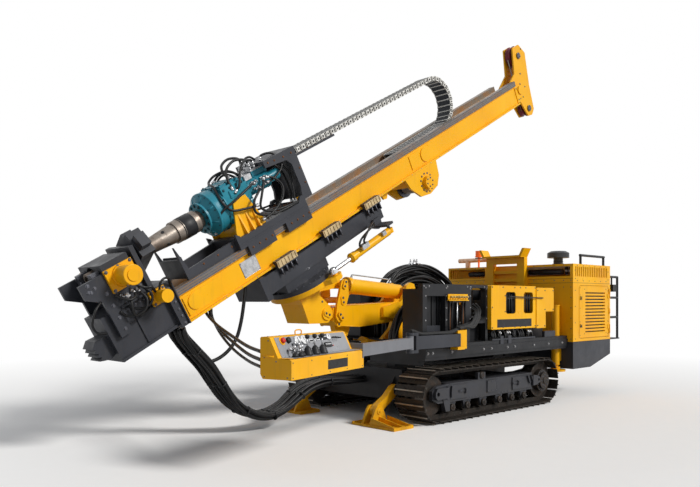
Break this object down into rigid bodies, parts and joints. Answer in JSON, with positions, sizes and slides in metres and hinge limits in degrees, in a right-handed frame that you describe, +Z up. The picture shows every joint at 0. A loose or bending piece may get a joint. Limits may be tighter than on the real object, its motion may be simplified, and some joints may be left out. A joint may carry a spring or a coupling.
{
  "type": "crawler drilling rig",
  "caption": "Crawler drilling rig with a tilting, swinging and sliding mast, rotary drill head, rod clamps, winch, rear engine hood, stabiliser feet and a console on a swinging arm.",
  "frame": {"origin": "on the ground under the middle of the whole machine as it stands", "axes": "+X towards the drilling end, +Y towards the control console, +Z up"},
  "size_m": [8.9862, 3.3496, 5.7576],
  "materials": {
    "yellow_paint": "semi-gloss",
    "grey_paint": "semi-gloss",
    "black_paint": "satin",
    "track_steel": "worn",
    "bare_steel": "worn",
    "chrome_rod": "polished",
    "head_blue": "semi-gloss",
    "console_grey": "satin",
    "hose_rubber": "matt",
    "chain_metal": "satin",
    "sheave_red": "satin",
    "beacon_orange": "glossy",
    "pipe_steel": "worn",
    "rusty_pipe": "rough"
  },
  "bodies": {
    "chassis": {"track_left": "track_steel", "track_right": "track_steel", "running_gear": "bare_steel", "track_frames": "grey_paint", "chassis_frame": "black_paint", "deck": "black_paint", "boom_bracket": "yellow_paint", "engine_block": "black_paint", "hood_shell": "yellow_paint", "hood_base": "grey_paint", "mast_rest": "grey_paint", "exhaust": "rusty_pipe", "air_intake": "black_paint", "beacon": "beacon_orange", "handrails": "grey_paint", "deck_frame": "black_paint", "valve_cover": "yellow_paint", "valve_bank": "black_paint", "side_tank": "yellow_paint", "deck_hoses": "hose_rubber", "rear_jack_posts": "yellow_paint", "console_bracket": "yellow_paint", "feed_hoses": "hose_rubber"},
    "boom": {"boom": "grey_paint"},
    "lift_barrel": {"lift_barrel": "grey_paint"},
    "lift_rod": {"lift_rod": "chrome_rod"},
    "tilt_barrel": {"tilt_barrel": "grey_paint"},
    "tilt_rod": {"tilt_rod": "chrome_rod"},
    "tilt_lever": {"tilt_lever": "grey_paint"},
    "tilt_link": {"tilt_link": "grey_paint"},
    "head": {"head_box": "grey_paint"},
    "cradle": {"cradle": "grey_paint"},
    "swing_barrel": {"swing_barrel": "grey_paint"},
    "swing_rod": {"swing_rod": "chrome_rod"},
    "mast": {"mast_beam": "grey_paint", "crown": "grey_paint", "winch_frame": "grey_paint", "clamp_frame": "grey_paint", "clamp_cylinders": "yellow_paint", "energy_chain": "chain_metal"},
    "upper_sheave": {"upper_sheave": "sheave_red"},
    "lower_sheave": {"lower_sheave": "sheave_red"},
    "winch_drum": {"winch_drum": "bare_steel"},
    "carriage": {"carriage": "grey_paint", "head_mount": "yellow_paint", "rotary_head": "head_blue"},
    "drill_string": {"drill_string": "pipe_steel"},
    "breakout_clamp": {"breakout_clamp": "bare_steel"},
    "stabiliser_arm_left": {"stabiliser_arm_left": "grey_paint"},
    "stabiliser_arm_right": {"stabiliser_arm_right": "grey_paint"},
    "stabiliser_foot_left": {"stabiliser_foot_left": "grey_paint"},
    "stabiliser_foot_right": {"stabiliser_foot_right": "grey_paint"},
    "rear_jack_left": {"rear_jack_left": "chrome_rod"},
    "rear_jack_right": {"rear_jack_right": "chrome_rod"},
    "console_link": {"console_link": "grey_paint"},
    "console_arm": {"console_arm": "grey_paint", "console_box": "console_grey"},
    "engine_door_left": {"engine_door_left": "yellow_paint"},
    "engine_door_right": {"engine_door_right": "yellow_paint"}
  },
  "joints": [
    {"name": "boom_lift", "type": "hinge", "parent": "chassis", "child": "boom", "pos_m": [-0.38314, -0.42478, 1.33], "axis": [0, -1, 0], "range_deg": [-5, 35]},
    {"name": "lift_barrel_swing", "type": "hinge", "parent": "chassis", "child": "lift_barrel", "pos_m": [-0.25314, -0.42478, 0.78], "axis": [0, -1, 0], "range_deg": [-5.08, 33.27]},
    {"name": "lift_rod_slide", "type": "slide", "parent": "lift_barrel", "child": "lift_rod", "axis": [0.9853, 0, 0.1707], "range_m": [-0.05216, 0.3414]},
    {"name": "head_tilt", "type": "hinge", "parent": "boom", "child": "head", "pos_m": [1.41686, -0.42478, 1.33], "axis": [0, 1, 0], "range_deg": [-16, 55], "deforming": ["feed_hoses"]},
    {"name": "tilt_lever_swing", "type": "hinge", "parent": "boom", "child": "tilt_lever", "pos_m": [1.16686, -0.42478, 1.3], "axis": [0, 1, 0], "range_deg": [-12.7, 42.31]},
    {"name": "tilt_link_swing", "type": "hinge", "parent": "tilt_lever", "child": "tilt_link", "pos_m": [1.09686, -0.42478, 1.7], "axis": [0, 1, 0], "range_deg": [-24.3, 7.29]},
    {"name": "tilt_barrel_swing", "type": "hinge", "parent": "boom", "child": "tilt_barrel", "pos_m": [-0.17314, -0.42478, 1.61], "axis": [0, 1, 0], "range_deg": [-0.54, 1.77]},
    {"name": "tilt_rod_slide", "type": "slide", "parent": "tilt_barrel", "child": "tilt_rod", "axis": [0.9975, 0, 0.0707], "range_m": [-0.08764, 0.29195]},
    {"name": "mast_swing", "type": "hinge", "parent": "head", "child": "cradle", "pos_m": [1.66686, -0.42478, 1.68], "axis": [0.4879, 0, 0.8729], "range_deg": [-25, 12]},
    {"name": "swing_barrel_turn", "type": "hinge", "parent": "cradle", "child": "swing_barrel", "pos_m": [0.55119, 0.02522, 2.38944], "axis": [0.4879, 0, 0.8729], "range_deg": [-6.59, 3.22]},
    {"name": "swing_rod_slide", "type": "slide", "parent": "swing_barrel", "child": "swing_rod", "axis": [0.8729, 0, -0.4879], "range_m": [-0.17852, 0.08709]},
    {"name": "mast_slide", "type": "slide", "parent": "cradle", "child": "mast", "axis": [0.8729, 0, -0.4879], "range_m": [-0.9, 0.15]},
    {"name": "head_feed", "type": "slide", "parent": "mast", "child": "carriage", "axis": [0.8729, 0, -0.4879], "range_m": [-3.4, 0.1], "deforming": ["energy_chain"]},
    {"name": "drill_turn", "type": "hinge", "parent": "carriage", "child": "drill_string", "pos_m": [3.69287, -0.42478, 2.02549], "axis": [0.8729, 0, -0.4879], "continuous": true},
    {"name": "breakout_turn", "type": "hinge", "parent": "mast", "child": "breakout_clamp", "pos_m": [3.91111, -0.42478, 1.90353], "axis": [0.8729, 0, -0.4879], "range_deg": [-30, 25]},
    {"name": "winch_turn", "type": "hinge", "parent": "mast", "child": "winch_drum", "pos_m": [-0.44586, -0.42478, 3.14715], "axis": [0, 1, 0], "continuous": true},
    {"name": "upper_sheave_turn", "type": "hinge", "parent": "mast", "child": "upper_sheave", "pos_m": [-2.97574, -0.42478, 5.56917], "axis": [0, 1, 0], "continuous": true},
    {"name": "lower_sheave_turn", "type": "hinge", "parent": "mast", "child": "lower_sheave", "pos_m": [-3.31289, -0.42478, 4.76094], "axis": [0, 1, 0], "continuous": true},
    {"name": "console_link_swing", "type": "hinge", "parent": "chassis", "child": "console_link", "pos_m": [0.09686, 0.75522, 1], "axis": [0, 0, 1], "range_deg": [0, 80]},
    {"name": "console_arm_swing", "type": "hinge", "parent": "console_link", "child": "console_arm", "pos_m": [0.99686, 0.75522, 1], "axis": [0, 0, 1], "range_deg": [-12, 60]},
    {"name": "stabiliser_left_raise", "type": "hinge", "parent": "chassis", "child": "stabiliser_arm_left", "pos_m": [0.73686, 0.27522, 0.4], "axis": [0, -1, 0], "range_deg": [0, 50]},
    {"name": "stabiliser_foot_left_tilt", "type": "hinge", "parent": "stabiliser_arm_left", "child": "stabiliser_foot_left", "pos_m": [1.08686, 0.27522, 0.17], "axis": [0, 1, 0], "range_deg": [-5, 40]},
    {"name": "rear_jack_left_extend", "type": "slide", "parent": "chassis", "child": "rear_jack_left", "axis": [0, 0, -1], "range_m": [0, 0.39]},
    {"name": "engine_door_left_swing", "type": "hinge", "parent": "chassis", "child": "engine_door_left", "pos_m": [-3.96114, 0.78722, 1.3], "axis": [0, 0, 1], "range_deg": [0, 110]},
    {"name": "stabiliser_right_raise", "type": "hinge", "parent": "chassis", "child": "stabiliser_arm_right", "pos_m": [0.73686, -1.12478, 0.4], "axis": [0, -1, 0], "range_deg": [0, 50]},
    {"name": "stabiliser_foot_right_tilt", "type": "hinge", "parent": "stabiliser_arm_right", "child": "stabiliser_foot_right", "pos_m": [1.08686, -1.12478, 0.17], "axis": [0, 1, 0], "range_deg": [-5, 40]},
    {"name": "rear_jack_right_extend", "type": "slide", "parent": "chassis", "child": "rear_jack_right", "axis": [0, 0, -1], "range_m": [0, 0.39]},
    {"name": "engine_door_right_swing", "type": "hinge", "parent": "chassis", "child": "engine_door_right", "pos_m": [-3.96114, -1.63678, 1.3], "axis": [0, 0, -1], "range_deg": [0, 110]}
  ],
  "couplings": [
    {"joint": "lift_barrel_swing", "follows": "boom_lift", "ratio": 0.93973},
    {"joint": "lift_rod_slide", "follows": "boom_lift", "m_per_rad": 0.5524},
    {"joint": "tilt_lever_swing", "follows": "head_tilt", "ratio": 0.75941},
    {"joint": "tilt_link_swing", "follows": "head_tilt", "ratio": -0.436},
    {"joint": "tilt_barrel_swing", "follows": "head_tilt", "ratio": 0.031709},
    {"joint": "tilt_rod_slide", "follows": "head_tilt", "m_per_rad": 0.30016},
    {"joint": "swing_barrel_turn", "follows": "mast_swing", "ratio": 0.25953},
    {"joint": "swing_rod_slide", "follows": "mast_swing", "m_per_rad": 0.40294}
  ]
}
